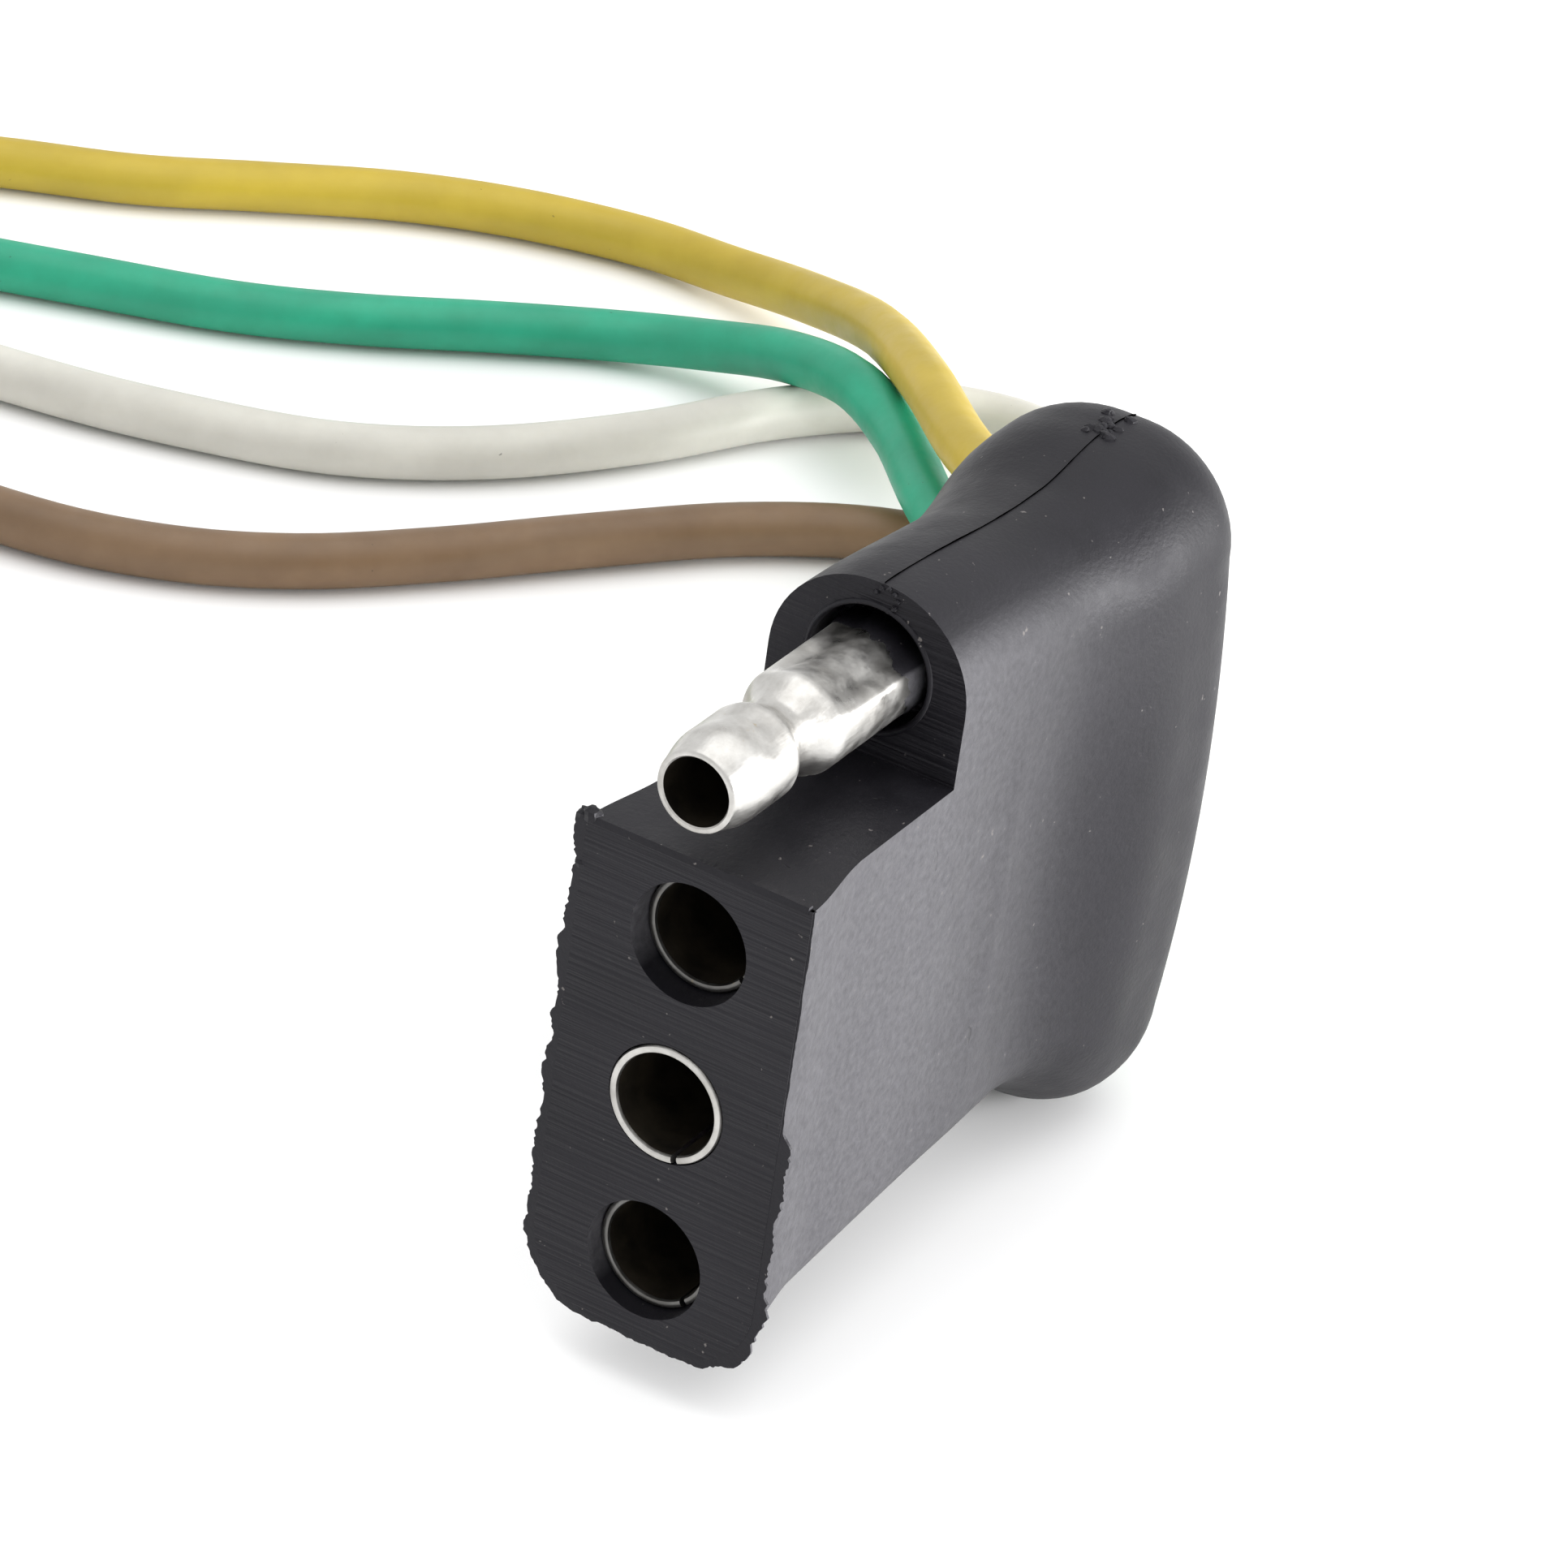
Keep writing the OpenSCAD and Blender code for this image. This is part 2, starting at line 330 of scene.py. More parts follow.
def dark_tube_material():
    """The tarnished, shaded inside of a terminal."""
    m = Nodes("terminal_inside")
    m.colour(m.ramp(m.noise(600, 4), [(0.3, rgb(0.010, 0.008, 0.006)), (0.75, rgb(0.045, 0.036, 0.024))]))
    m.shader.inputs["Metallic"].default_value = 0.7
    m.roughness(m.span(m.noise(900, 3), 0.4, 0.65))
    m.bump(m.noise(1200, 3), 0.00003, 0.4)
    return m.material


def wire_material(name, low, high, streak):
    """Satin PVC insulation with the strands' twist showing faintly through it."""
    m = Nodes(name)
    uv = m.add("ShaderNodeTexCoord").outputs["UV"]
    split = m.add("ShaderNodeSeparateXYZ")
    m.link(uv, split.inputs[0])
    turns = m.sum(split.outputs[0], 2 * PI * 16, "MULTIPLY")
    round_it = m.sum(split.outputs[1], 2 * PI * 3, "MULTIPLY")
    twist = m.sum(m.sum(turns, round_it), 0.0, "SINE")
    cloud = m.noise(300, 4, 0.6)
    base = m.ramp(cloud, [(0.3, rgb(*low)), (0.7, rgb(*high))])
    lay = m.sum(m.span(twist, 0.0, 0.5, -1.0, 1.0), m.noise(240, 3), "MULTIPLY")
    tinted = m.blend(lay, base, rgb(*streak))
    specks = m.ramp(m.noise(2300, 2), [(0.77, BLACK), (0.8, WHITE)])
    m.colour(m.blend(specks, tinted, rgb(*(0.6 * c for c in streak))))
    m.roughness(m.span(m.noise(700, 3), 0.38, 0.52, 0.3, 0.7))
    m.shader.inputs["Subsurface Weight"].default_value = 0.12
    m.shader.inputs["Subsurface Radius"].default_value = (0.8, 0.7, 0.5)
    m.shader.inputs["Subsurface Scale"].default_value = 0.0008
    m.bump(m.sum(twist, m.sum(m.noise(900, 3), 1.5, "MULTIPLY")), 0.00003, 0.35)
    return m.material


def copper_material():
    """Bright stranded copper."""
    m = Nodes("stranded_copper")
    m.colour(m.ramp(m.noise(900, 4), [(0.3, rgb(0.55, 0.27, 0.15)), (0.7, rgb(0.8, 0.46, 0.3))]))
    m.shader.inputs["Metallic"].default_value = 1.0
    m.roughness(m.span(m.noise(700, 3), 0.25, 0.4))
    m.bump(m.noise(2400, 3, stretch=(0.2, 1, 1)), 0.00005, 0.6)
    return m.material


def tie_material():
    """Black plastic strip with a faint grain."""
    m = Nodes("tie_strip")
    m.colour(m.ramp(m.noise(500, 4), [(0.3, rgb(0.015, 0.015, 0.016)), (0.7, rgb(0.03, 0.03, 0.032))]))
    m.roughness(m.span(m.noise(900, 3), 0.35, 0.5))
    m.bump(m.noise(2500, 3), 0.00003, 0.5)
    return m.material


def floor_material():
    """Plain pale paper."""
    m = Nodes("pale_floor")
    m.colour(m.ramp(m.noise(40, 3), [(0.3, rgb(0.93, 0.93, 0.93)), (0.7, rgb(0.95, 0.95, 0.95))]))
    m.shader.inputs["Roughness"].default_value = 0.9
    return m.material


RUBBER = rubber_material("moulded_rubber")
RUBBER_FACE = rubber_material("moulded_rubber_face", lines=9.0)
TIN = tin_material("tin_plate", 0.66, dull=0.05)
TUBE_TIN = tin_material("socket_tin", 0.62, dull=0.08)
# painted shade: a much darker copy of the socket tin, for the sockets set back inside the nose
SHADED_TIN = tin_material("socket_tin_painted_shade", 0.2, dull=0.12)
INSIDE = dark_tube_material()
COPPER = copper_material()
WIRE_FINISH = {
    "white": wire_material("pvc_white", (0.54, 0.53, 0.475), (0.62, 0.61, 0.55), (0.44, 0.43, 0.39)),
    "brown": wire_material("pvc_brown", (0.155, 0.09, 0.043), (0.195, 0.118, 0.059), (0.11, 0.066, 0.033)),
    "yellow": wire_material("pvc_yellow", (0.43, 0.31, 0.019), (0.485, 0.355, 0.027), (0.33, 0.245, 0.02)),
    "green": wire_material("pvc_green", (0.006, 0.28, 0.155), (0.010, 0.345, 0.20), (0.008, 0.195, 0.115)),
}


# ---- camera ----

def make_camera():
    """A long lens, 27 degrees round from the mating face and 30 above it, held slightly tilted."""
    aim = Vector((NOSE_X - 4.4, 0.9, AXIS_Z["brown"] + 5.8)) * MM
    round_by, above, roll = math.radians(26.93), math.radians(30.15), math.radians(8.37)
    level = math.cos(above)
    towards = Vector((level * math.cos(round_by), level * math.sin(round_by), math.sin(above)))
    data = bpy.data.cameras.new("camera")
    data.sensor_width = 36
    data.lens = 167.7
    data.clip_start = 0.01
    data.clip_end = 20
    camera = bpy.data.objects.new("camera", data)
    bpy.context.collection.objects.link(camera)
    turn = towards.to_track_quat("Z", "Y").to_matrix().to_4x4() @ Matrix.Rotation(roll, 4, "Z")
    distance = 0.286
    camera.matrix_world = Matrix.Translation(aim + towards * distance) @ turn
    bpy.context.scene.camera = camera


# ---- wires ----

ROUTES = {
    "white": [(BACK_X, 0, 24.2), (-22.5, -0.7, 23), (-29, -3, 20.6), (-36.5, -6.8, 16.9),
              (-44, -10.8, 12.8), (-52, -15.2, 8.5), (-59.4, -19.6, 4.9), (-64.2, -24, 2.2),
              (-66, -29.2, 1.4), (-63.6, -34.4, REST_Z), (-58.2, -38.6, REST_Z), (-51.4, -42, REST_Z),
              (-44.4, -46.8, REST_Z), (-39.4, -52.5, REST_Z), (-36.4, -59.5, REST_Z), (-34.4, -67, REST_Z),
              (-33.2, -76.5, REST_Z), (-34.4, -88, REST_Z), (-35.1, -99, REST_Z), (-35.1, -112, REST_Z)],
    "brown": [(BACK_X, 0, 21.2), (-22.5, 0.2, 20.2), (-28, -0.8, 16.9), (-33.5, -3.4, 12.8),
              (-39.5, -7.8, 8.8), (-45.5, -12.8, 5.2), (-50.6, -17.8, 2.7), (-52.6, -22.8, 1.5),
              (-51, -28.2, REST_Z), (-46.6, -33.4, REST_Z), (-40.4, -38.2, REST_Z), (-34, -42.8, REST_Z),
              (-28.6, -47.4, REST_Z), (-24.8, -52.6, REST_Z), (-22.5, -59, REST_Z), (-21.9, -68, REST_Z),
              (-24.4, -79.5, REST_Z), (-29.2, -91, REST_Z), (-32, -102, REST_Z), (-32.4, -112, REST_Z)],
    "yellow": [(BACK_X, 0, 13.7), (-23, -0.6, 13.7), (-28.9, -4.2, 13.3), (-36, -10, 12.1),
               (-42.6, -16.6, 10.6), (-48.6, -23, 9.1), (-55.4, -29.1, 7.9), (-62.6, -35.6, 5.6),
               (-67.6, -42.3, 3.1), (-69.7, -48.4, 1.7), (-69.9, -53.8, REST_Z), (-68, -60.2, REST_Z),
               (-65, -66, REST_Z), (-60.6, -71.8, REST_Z), (-56.5, -77, REST_Z), (-52.8, -83.5, REST_Z),
               (-47.7, -91, REST_Z), (-43.2, -98.5, REST_Z), (-40.8, -105.5, REST_Z),
               (-40.5, -112, REST_Z)],
    "green": [(BACK_X, 0, 6.2), (-23.1, -0.3, 6.2), (-29.2, -3.6, 6), (-36.2, -10.4, 5.5), (-42.8, -18, 5.3),
              (-49, -24.6, 5.2), (-54.4, -29.6, 5), (-57.6, -34, 5), (-59.9, -39, 3.8),
              (-60.8, -44.2, 2.2), (-59.3, -49.4, 1.4), (-55.8, -54.3, REST_Z), (-51.7, -59.5, REST_Z),
              (-48.2, -65, REST_Z), (-45.2, -72, REST_Z), (-42.2, -79.5, REST_Z), (-39.8, -87.5, REST_Z),
              (-38.1, -96, REST_Z), (-37.8, -105, REST_Z), (-37.8, -112, REST_Z)],
}
WIRE_LENGTH = {"white": 300, "brown": 285, "yellow": 292, "green": 300}


def through(points, steps=6):
    """A smooth curve through the points."""
    pts = [Vector(p) for p in points]
    pts = [2 * pts[0] - pts[1]] + pts + [2 * pts[-1] - pts[-2]]
    line = []
    for a, b, c, d in zip(pts, pts[1:], pts[2:], pts[3:]):
        for i in range(steps):
            s = i / steps
            line.append(0.5 * (2 * b + (c - a) * s + (2 * a - 5 * b + 4 * c - d) * s * s
                               + (3 * b - a - 3 * c + d) * s ** 3))
    return line + [pts[-2]]


def length_of(line):
    return sum((b - a).length for a, b in zip(line, line[1:]))


def coil_turns(start, centre, length):
    """Points round the coil from the wire's start on its west side: one layer, then a second on top."""
    radius = centre.x - start.x
    turn = 2 * PI * radius
    line = []
    steps = int(40 * length / turn)
    for i in range(1, steps + 1):
        s = length * i / steps
        a = s / radius
        z = start.z + 0.6 * ease(a, 0, 1.0) + WIRE_D * ease(a, 1.45 * PI, 1.95 * PI)
        line.append(Vector((centre.x - radius * math.cos(a), centre.y - radius * math.sin(a), z)))
    return line


def make_wires():
    low, high = (Vector(corner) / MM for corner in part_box("wire_coil"))
    centre = (low + high) / 2
    for colour, route in ROUTES.items():
        lead = through(route)
        length = WIRE_LENGTH[colour]
        line = lead + coil_turns(lead[-1], centre, length - length_of(lead))
        data = bpy.data.curves.new(f"wire_{colour}_insulation", "CURVE")
        data.dimensions = "3D"
        data.bevel_depth = WIRE_D / 2 * MM
        data.bevel_resolution = 6
        data.use_fill_caps = True
        spline = data.splines.new("POLY")
        spline.points.add(len(line) - 1)
        for point, place in zip(spline.points, line):
            point.co = (*(place * MM), 1.0)
        spline.use_smooth = True
        piece = bpy.data.objects.new(f"wire_{colour}_insulation", data)
        bpy.context.collection.objects.link(piece)
        data.materials.append(WIRE_FINISH[colour])
        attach(piece, "root")
        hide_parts(f"wire_{colour}", "wire_coil")
        tip = stripped_tip(colour, line[-2], line[-1])


def stripped_tip(colour, before, end):
    """Seven twisted strands that stand out of the cut end."""
    along = (end - before).normalized()
    side = along.cross(Vector((0, 0, 1))).normalized()
    up = side.cross(along)
    points, faces = [], []
    for strand in range(7):
        rings = []
        for i in range(9):
            twist = i * 0.35 + strand * PI / 3
            reach = 0.0 if strand == 6 else 0.5
            centre = end + along * (i * 0.5 - 0.2) + (side * math.cos(twist) + up * math.sin(twist)) * reach
            rings.append([centre + (side * math.cos(a) + up * math.sin(a)) * 0.24
                          for a in (j * PI / 4 for j in range(8))])
        pts, fcs = skin(rings)
        faces += [tuple(k + len(points) for k in f) for f in fcs]
        points += pts
    return new_piece(f"wire_{colour}_strands", points, faces, COPPER, slot="copper")


# ---- housing ----

LIP = 3.6  # how much of the flange is rounded off towards the back
FLASH_IN = 0.11  # how far behind the nose's face the middle of its flash lies

def lip_in(s):
    t = max(0.0, (s - BODY_LEN + LIP) / LIP)
    return 2.3 * (1 - math.sqrt(1 - 0.98 * t * t))


def half_w(s):
    return mix(mix(10.4, 9.2, ease(s, 0, 5)), 12.2, ease(s, 21, 29)) / 2 - lip_in(s)


def under(s):
    return mix(mix(2.4, 3.8, ease(s, -4, 20)), 0, ease(s, 23, 31)) + lip_in(s)


def over(s):
    return BODY_H - 0.9 * ease(s, 12, 24) + 0.7 * ease(s, 25, 30) - lip_in(s)


def hollow(s, z):
    """How far the broad sides sink into the waist, and stand out in a soft ridge before it."""
    high = z - 0.55 * (s - 16)
    return 0.42 * bump_at(s, 22.5, 5.5) * bump_at(z, 15, 15) - 0.2 * bump_at(s, 16, 4) * bump_at(high, 17, 11)


def outline(s, n=14, sides=16):
    """The housing's section at a distance s behind the nose's face."""
    x, w, back = NOSE_X - s, half_w(s), ease(s, 21, 29)
    top_w = w - 0.25 * back
    belly = 0.6 * back
    lo = mix(3.4, 5.2, ease(s, 20, 30)) - lip_in(s) / 2
    hi = min(mix(4.4, 5, ease(s, 20, 30)) - lip_in(s) / 2, top_w - 0.1)
    z0, z1 = under(s) + lo, over(s) - hi
    corners = ((w - lo, z0, lo, -90), (top_w - hi, z1, hi, 0),
               (hi - top_w, z1, hi, 90), (lo - w, z0, lo, 180))
    long_sides = {0: ((w, z0), (top_w, z1), belly), 2: ((-top_w, z1), (-w, z0), -belly)}
    ring = []
    for k, (cy, cz, r, start) in enumerate(corners):
        for i in range(n + 1):
            a = math.radians(start + 90 * i / n)
            ring.append((x, cy + r * math.cos(a), cz + r * math.sin(a)))
        if k in long_sides:
            a, b, out = long_sides[k]
            for i in range(1, sides):
                u = i / sides
                ring.append((x, mix(a[0], b[0], u) + out * 4 * u * (1 - u), mix(a[1], b[1], u)))
    return [(px, py - math.copysign(hollow(s, pz), py) if abs(py) > 2 else py, pz) for px, py, pz in ring]


def bore(piece, x0, x1, r, z):
    """Drills a round hole along X."""
    cut(piece, *skin(lathe_rings([(x0, r), (x1, r)], z)))


def make_housing():
    stations = [BODY_LEN * i / 90 for i in range(81)]
    stations += [BODY_LEN - LIP + LIP * math.sin(PI / 2 * i / 16) for i in range(17)]
    stations = sorted(set(round(s, 4) for s in stations))
    points, faces = skin([outline(s) for s in stations])
    body = new_piece("housing_moulding", points, faces, RUBBER, slot="moulded_black")
    body.data.materials.append(RUBBER_FACE)
    x0, x1, z0, z1 = BOSS_X, NOSE_X + 5, STEP_Z, BODY_H + 5
    block = [(x, y, z) for x in (x0, x1) for y in (-9, 9) for z in (z0, z1)]
    cut(body, block, [(0, 1, 3, 2), (4, 6, 7, 5), (0, 4, 5, 1), (2, 3, 7, 6), (0, 2, 6, 4), (1, 5, 7, 3)])
    for colour in ("brown", "yellow", "green"):
        bore(body, NOSE_X + 1, NOSE_X - 14.1, SOCKET_R + ROOM, AXIS_Z[colour])
    bore(body, BOSS_X + 1, BOSS_X - 2.2, BOSS_HOLE_R, AXIS_Z["white"])
    bore(body, BOSS_X - 1, -1.1, PIN_REAR_R + ROOM, AXIS_Z["white"])
    for colour in COLOURS:
        bore(body, BACK_X + 1.2, BACK_X - 1, WIRE_D / 2 + 0.07, ROUTES[colour][0][2])
    for face in body.data.polygons:
        if face.normal.x > 0.98 and face.area < 1:
            face.material_index = 1
    smooth_by_angle(body, 32)
    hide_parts("housing")


def ragged_strip(name, path, outward, reach, thick, seed, jag=0.6, step=0.12):
    """Thin flash along a path: outward gives the way it stands at each point, in millimetres."""
    rng = random.Random(seed)
    total = length_of(path)
    count = max(4, int(total / step))
    lobes = [(rng.uniform(0.7, 2.6), rng.uniform(0, 2 * PI), rng.uniform(0.2, 0.5)) for _ in range(5)]
    marks, walked, i = [], 0.0, 0
    for k in range(count + 1):
        want = total * k / count
        while i < len(path) - 2 and walked + (path[i + 1] - path[i]).length < want:
            walked += (path[i + 1] - path[i]).length
            i += 1
        edge = path[i + 1] - path[i]
        marks.append((path[i] + edge * min(1.0, (want - walked) / max(edge.length, 1e-6)), want))
    rings, drift = [], 0.5
    for place, want in marks:
        drift = min(1.0, max(0.0, drift + rng.uniform(-0.5, 0.5)))
        wave = 0.5 + 0.5 * max(-1.0, min(1.0, sum(h * math.sin(want * f + p) for f, p, h in lobes)))
        out = outward(place)
        along = Vector((1, 0, 0)) if abs(out.x) < 0.7 else Vector((0, 1, 0))
        long = reach(want / total) * (1 - jag + jag * (0.55 * wave + 0.45 * drift)) + 0.02
        root, tip = place - out * 0.15, place + out * long
        half, fine = along * thick / 2, along * thick / 3
        rings.append([root - half, tip - fine, tip + fine, root + half])
    return new_piece(name, *skin(rings), RUBBER, smooth=False, slot="moulded_black")


def make_flash():
    """The thin torn edge left by the mould round the nose's face, and along the top parting line."""
    ring = [Vector(p) for p in outline(FLASH_IN) if p[2] < STEP_Z]
    centre = Vector((NOSE_X, 0, 12.5))
    # start the path at the +Y top corner and go round under the nose to the other one
    right = sorted((p for p in ring if p.y > 0), key=lambda p: (-round(p.z, 3), p.y))
    left = sorted((p for p in ring if p.y <= 0), key=lambda p: (round(p.z, 3), -p.y))
    path = [Vector((NOSE_X - FLASH_IN, half_w(0), STEP_Z))] + right + left
    path.append(Vector((NOSE_X - FLASH_IN, -half_w(0), STEP_Z)))

    def outward(place):
        corner = 3.4
        z = min(max(place.z, under(0) + corner), STEP_Z)
        y = max(min(place.y, half_w(0) - corner), corner - half_w(0))
        way = Vector((0, place.y - y, place.z - z))
        return way.normalized() if way.length > 1e-3 else (place - centre).normalized()

    def reach(share):
        right = 0.10 + 0.62 * ease(share, 0.195, 0.21) * (1 - ease(share, 0.42, 0.46))
        return right + 0.22 * ease(share, 0.42, 0.46) + 0.34 * ease(share, 0.52, 0.58)

    ragged_strip("nose_flash", path, outward, reach, 0.2, 3, jag=0.7)
    top = [Vector((NOSE_X - 0.15, y * 0.5, STEP_Z)) for y in range(-10, 11)]
    ragged_strip("nose_top_bead", top, lambda p: Vector((0, 0, 1)), lambda s: 0.14, 0.4, 5, jag=0.3)
    seam = [Vector((NOSE_X - s, 0.14, over(s))) for s in (12.1 + 0.5 * k for k in range(43))]
    ragged_strip("parting_line", seam, lambda p: Vector((0, 0, 1)), lambda s: 0.07, 0.14, 7, jag=0.5)


def torn_lumps(name, places, seed):
    """Torn bits of moulding: places are (x, y, z, size) in millimetres."""
    rng = random.Random(seed)
    points, faces = [], []
    for x, y, z, size in places:
        centre = Vector((x, y, z))
        rings = []
        for h, w in ((-0.6, 1.0), (0.1, 1.05), (0.5, 0.8), (0.85, 0.3)):
            lean = Vector((rng.uniform(-0.2, 0.2) * size, rng.uniform(-0.2, 0.2) * size, h * size))
            rings.append([centre + lean + Vector((math.cos(a) * size * w * rng.uniform(0.75, 1.1),
                                                  math.sin(a) * size * w * rng.uniform(0.75, 1.1), 0))
                          for a in (j * PI / 4.5 for j in range(9))])
        pts, fcs = skin(rings)
        faces += [tuple(j + len(points) for j in f) for f in fcs]
        points += pts
    return new_piece(name, points, faces, RUBBER, smooth=False, slot="moulded_black")


def make_torn_bits():
    """The torn gate on the flange, the curl at the boss's top edge and the blob at the nose's corner."""
    rng = random.Random(11)
    gate = []
    for k in range(26):
        s = 31.0 + rng.uniform(-1.2, 1.0)
        size = rng.uniform(0.16, 0.38)
        gate.append((NOSE_X - s, rng.uniform(-0.6, 0.6), over(s) - 0.35 * size, size))
    torn_lumps("torn_gate", gate, 12)
    curl = []
    for k in range(7):
        a = math.radians(160 - 38 * k)
        curl.append((BOSS_X + 0.02, 0.35 + 0.5 * math.cos(a), BODY_H - 0.62 + 0.5 * math.sin(a), 0.13))
    torn_lumps("boss_top_curl", curl, 13)
    edge = -half_w(0)
    corner = [(NOSE_X - 0.2, edge + 0.1, STEP_Z + 0.1, 0.42), (NOSE_X - 0.25, edge - 0.3, STEP_Z, 0.3),
              (NOSE_X - 0.2, edge - 0.1, STEP_Z - 2.2, 0.3)]
    torn_lumps("nose_corner_blob", corner, 14)


# ---- terminals ----

PANEL_AT = math.radians(84)
SEAM_AT = math.radians(300)


def pin_radius(s, a):
    """The pin's outside at a distance s behind its tip and an angle a from +Y."""
    r = mix(1.72, PIN_R, ease(s, -0.4, 1.8)) - (PIN_R - 1.6) * ease(s, 4.2, 5.4)
    r += (PIN_REAR_R - 1.6) * ease(s, 5.7, 7.5)
    r -= 0.14 * bump_at(s, 5.6, 1.4) * max(0.0, math.cos(2 * a + 0.6))
    panel = ease(math.cos(a - PANEL_AT), 0.45, 0.8)
    r -= 0.62 * panel * ease(s, 5.8, 10.5)
    r -= 0.12 * panel * bump_at(s, 3.4, 1.7)
    seam = abs((a - SEAM_AT + PI) % (2 * PI) - PI)
    r -= 0.12 * math.exp(-(seam / 0.05) ** 2)
    dent = abs((a - math.radians(325) + PI) % (2 * PI) - PI)
    return r - 0.13 * bump_at(s, 0.4, 1.1) * math.exp(-(dent / 0.28) ** 2)


def make_ground_pin():
    """A rolled bullet: open tip, front barrel, pinched neck, rear barrel with a flattened top."""
    z = AXIS_Z["white"]
    tip = PIN_TIP
    by_shape = -1.0  # marks the rings whose radius pin_radius gives
    outside = [(tip - s, by_shape) for s in (0.12 + 0.13 * k for k in range(145))]
    mouth = [(tip - 4.6, 0.2), (tip - 4.5, PIN_BORE_R), (tip - 0.5, PIN_BORE_R), (tip - 0.06, 1.48),
             (tip, 1.54), (tip, 1.68), (tip - 0.05, 1.74)]
    profile = mouth + outside + [(-1.0, 1.9), (-1.0, 0.2)]

    def shaped(x, r, a):
        return pin_radius(tip - x, a) if r == by_shape else r

    rings = lathe_rings(profile, z, shaped, 128)
    pin = new_piece("ground_pin_bullet", *skin(rings), TIN, slot="tinned_brass")
    pin.data.materials.append(INSIDE)
    for face in pin.data.polygons:
        c = face.center / MM
        if math.hypot(c.y, c.z - z) < PIN_BORE_R + 0.02 and c.x > tip - 4.7:
            face.material_index = 1
    smooth_by_angle(pin, 40)
    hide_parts("ground_pin")


def make_flash_on_pin():
    """Black moulding that crept onto the pin where it leaves the boss, and the raised lip of its hole."""
    rng = random.Random(21)
    z = AXIS_Z["white"]
    n = 90
    fronts, drift = [], 0.5
    for j in range(n):
        drift = min(1.0, max(0.0, drift + rng.uniform(-0.3, 0.3)))
        near = max(0.0, math.cos(2 * PI * j / n - math.radians(35)))
        fronts.append(BOSS_X - 0.1 + (0.5 + 1.1 * drift) * near ** 1.5)
    rings = []
    for share, extra in ((0.0, 0.02), (0.0, 0.08), (0.7, 0.07), (0.93, 0.045), (1.0, 0.0)):
        ring = []
        for j in range(n):
            a = 2 * PI * j / n
            x = mix(BOSS_X - 1.8, fronts[j], share)
            r = pin_radius(PIN_TIP - x, a) + extra
            ring.append((x, r * math.cos(a), z + r * math.sin(a)))
        rings.append(ring)
    new_piece("pin_flash", *skin(rings, False), RUBBER, slot="moulded_black")
    lip = lathe_rings([(BOSS_X - 0.1, 2.72), (BOSS_X + 0.09, 2.78), (BOSS_X + 0.12, 2.86),
                       (BOSS_X + 0.07, 2.95), (BOSS_X - 0.1, 3.02)], z)
    new_piece("boss_hole_lip", *skin(lip + [lip[0]], False), RUBBER, slot="moulded_black")


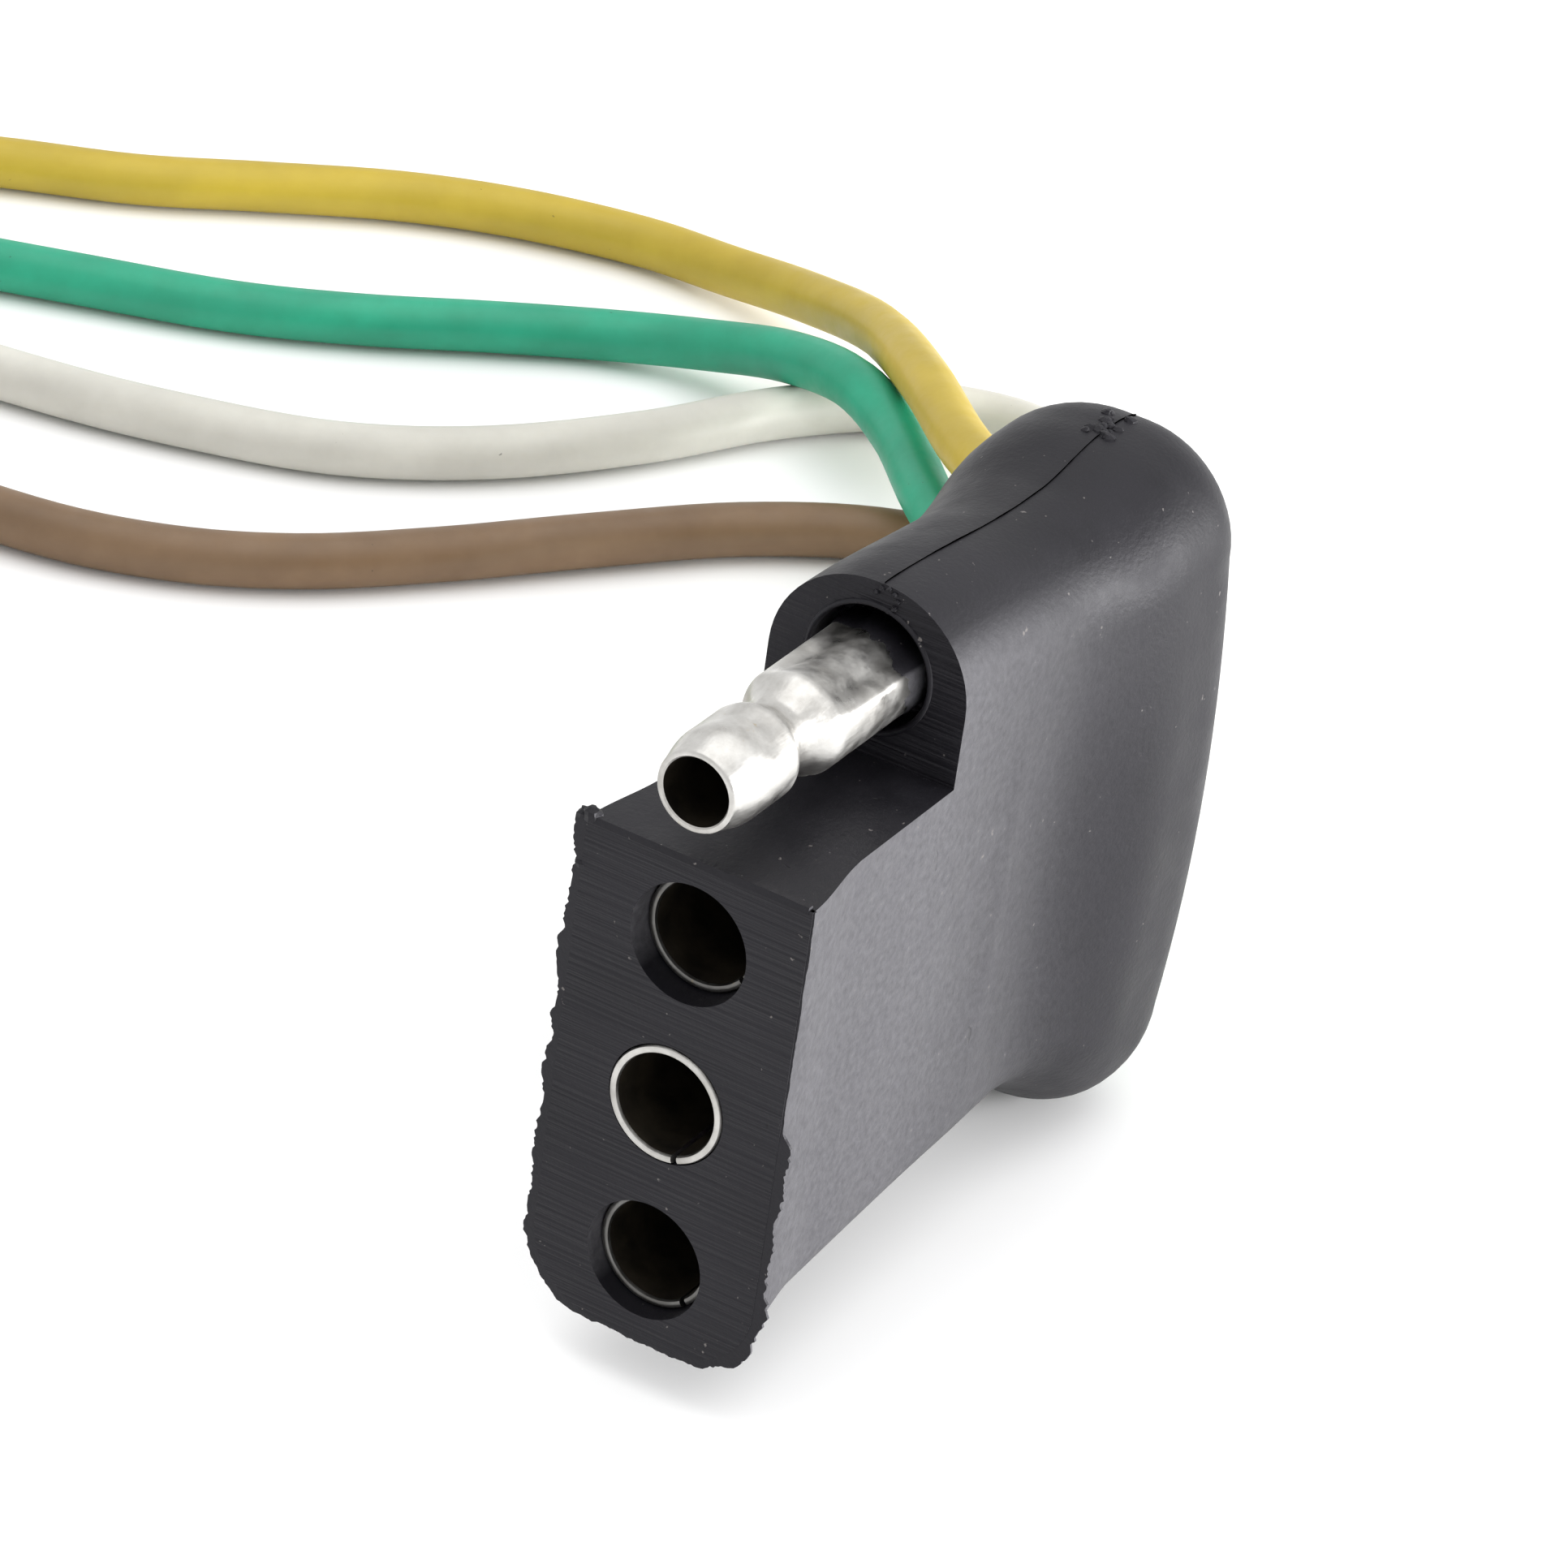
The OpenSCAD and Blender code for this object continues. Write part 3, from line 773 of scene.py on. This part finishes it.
def make_socket(colour, slit_at):
    """A rolled split tube with a rounded mouth."""
    z = AXIS_Z[colour]
    low, high = (Vector(corner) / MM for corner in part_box(f"socket_{colour}"))
    mouth = high.x
    n = 96
    half_slit = 0.15 / SOCKET_R
    profile = [(3.2, SOCKET_R), (mouth - 0.12, SOCKET_R), (mouth - 0.03, SOCKET_R - 0.05),
               (mouth, SOCKET_R - 0.13), (mouth, BORE_R + 0.13), (mouth - 0.04, BORE_R + 0.05),
               (mouth - 0.16, BORE_R), (3.2, BORE_R)]
    rings = []
    for j in range(n + 1):
        a = math.radians(slit_at) + half_slit + (2 * PI - 2 * half_slit) * j / n
        rings.append([(x, r * math.cos(a), z + r * math.sin(a)) for x, r in profile])
    points, faces = skin(rings)
    # sockets whose mouth lies behind the nose's face get the darker tin, as painted shade
    tin_shaded_if_recessed = TUBE_TIN if mouth > NOSE_X else SHADED_TIN
    tube = new_piece(f"socket_{colour}_tube", points, faces, tin_shaded_if_recessed, slot="tinned_brass")
    tube.data.materials.append(INSIDE)
    for face in tube.data.polygons:
        c = face.center / MM
        if math.hypot(c.y, c.z - z) < BORE_R + 0.03 and c.x < mouth - 0.6:
            face.material_index = 1
    smooth_by_angle(tube, 35)
    back = lathe_rings([(3.15, 0.2), (3.15, SOCKET_R - 0.02), (3.9, SOCKET_R - 0.02), (3.9, BORE_R + 0.02),
                        (3.7, BORE_R), (3.7, 0.2)], z)
    new_piece(f"socket_{colour}_floor", *skin(back), INSIDE, slot="tinned_brass")
    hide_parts(f"socket_{colour}")


def finish_cad_nodes():
    """The nodes whose CAD shape stays get their material."""
    tie = tie_material()
    for name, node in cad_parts.items():
        kind = name.split("_")[0]
        colour = name.split("_")[-1]
        if kind == "core":
            material = COPPER
        elif kind in ("jacket", "wire") and colour in WIRE_FINISH:
            material = WIRE_FINISH[colour]
        elif kind == "coil":
            material = tie
        elif kind == "housing":
            material = RUBBER
        else:
            material = TIN
        for item in node.material_slots:
            item.material = material


# ---- floor and light ----

def make_floor():
    mesh = bpy.data.meshes.new("floor")
    size = 3.0
    corners = [(-size, -size, 0), (size, -size, 0), (size, size, 0), (-size, size, 0)]
    mesh.from_pydata(corners, [], [(0, 1, 2, 3)])
    floor = bpy.data.objects.new("floor", mesh)
    floor.location.z = -0.0001
    bpy.context.collection.objects.link(floor)
    mesh.materials.append(floor_material())


def area_light(name, place, aim, size, power):
    data = bpy.data.lights.new(name, "AREA")
    data.shape = "RECTANGLE"
    data.size, data.size_y = size
    data.energy = power
    light = bpy.data.objects.new(name, data)
    light.location = place
    light.rotation_euler = (Vector(place) - Vector(aim)).to_track_quat("Z", "Y").to_euler()
    bpy.context.collection.objects.link(light)


def make_lights():
    world = bpy.data.worlds.new("studio")
    world.use_nodes = True
    world.node_tree.nodes["Background"].inputs["Color"].default_value = (1, 1, 1, 1)
    world.node_tree.nodes["Background"].inputs["Strength"].default_value = 1.0
    bpy.context.scene.world = world
    bpy.context.scene.view_settings.view_transform = "Standard"
    area_light("overhead", (-0.05, 0.0, 0.6), (0, 0, 0), (0.7, 0.7), 1.6)
    area_light("right_side", (-0.22, 0.46, 0.10), (0, 0, 0.012), (0.35, 0.16), 4.0)


make_camera()
make_wires()
make_housing()
make_flash()
make_torn_bits()
make_ground_pin()
make_flash_on_pin()
for socket_colour, slit_place in (("brown", -35), ("yellow", -72), ("green", -50)):
    make_socket(socket_colour, slit_place)
finish_cad_nodes()
make_floor()
make_lights()

bpy.context.view_layer.update()
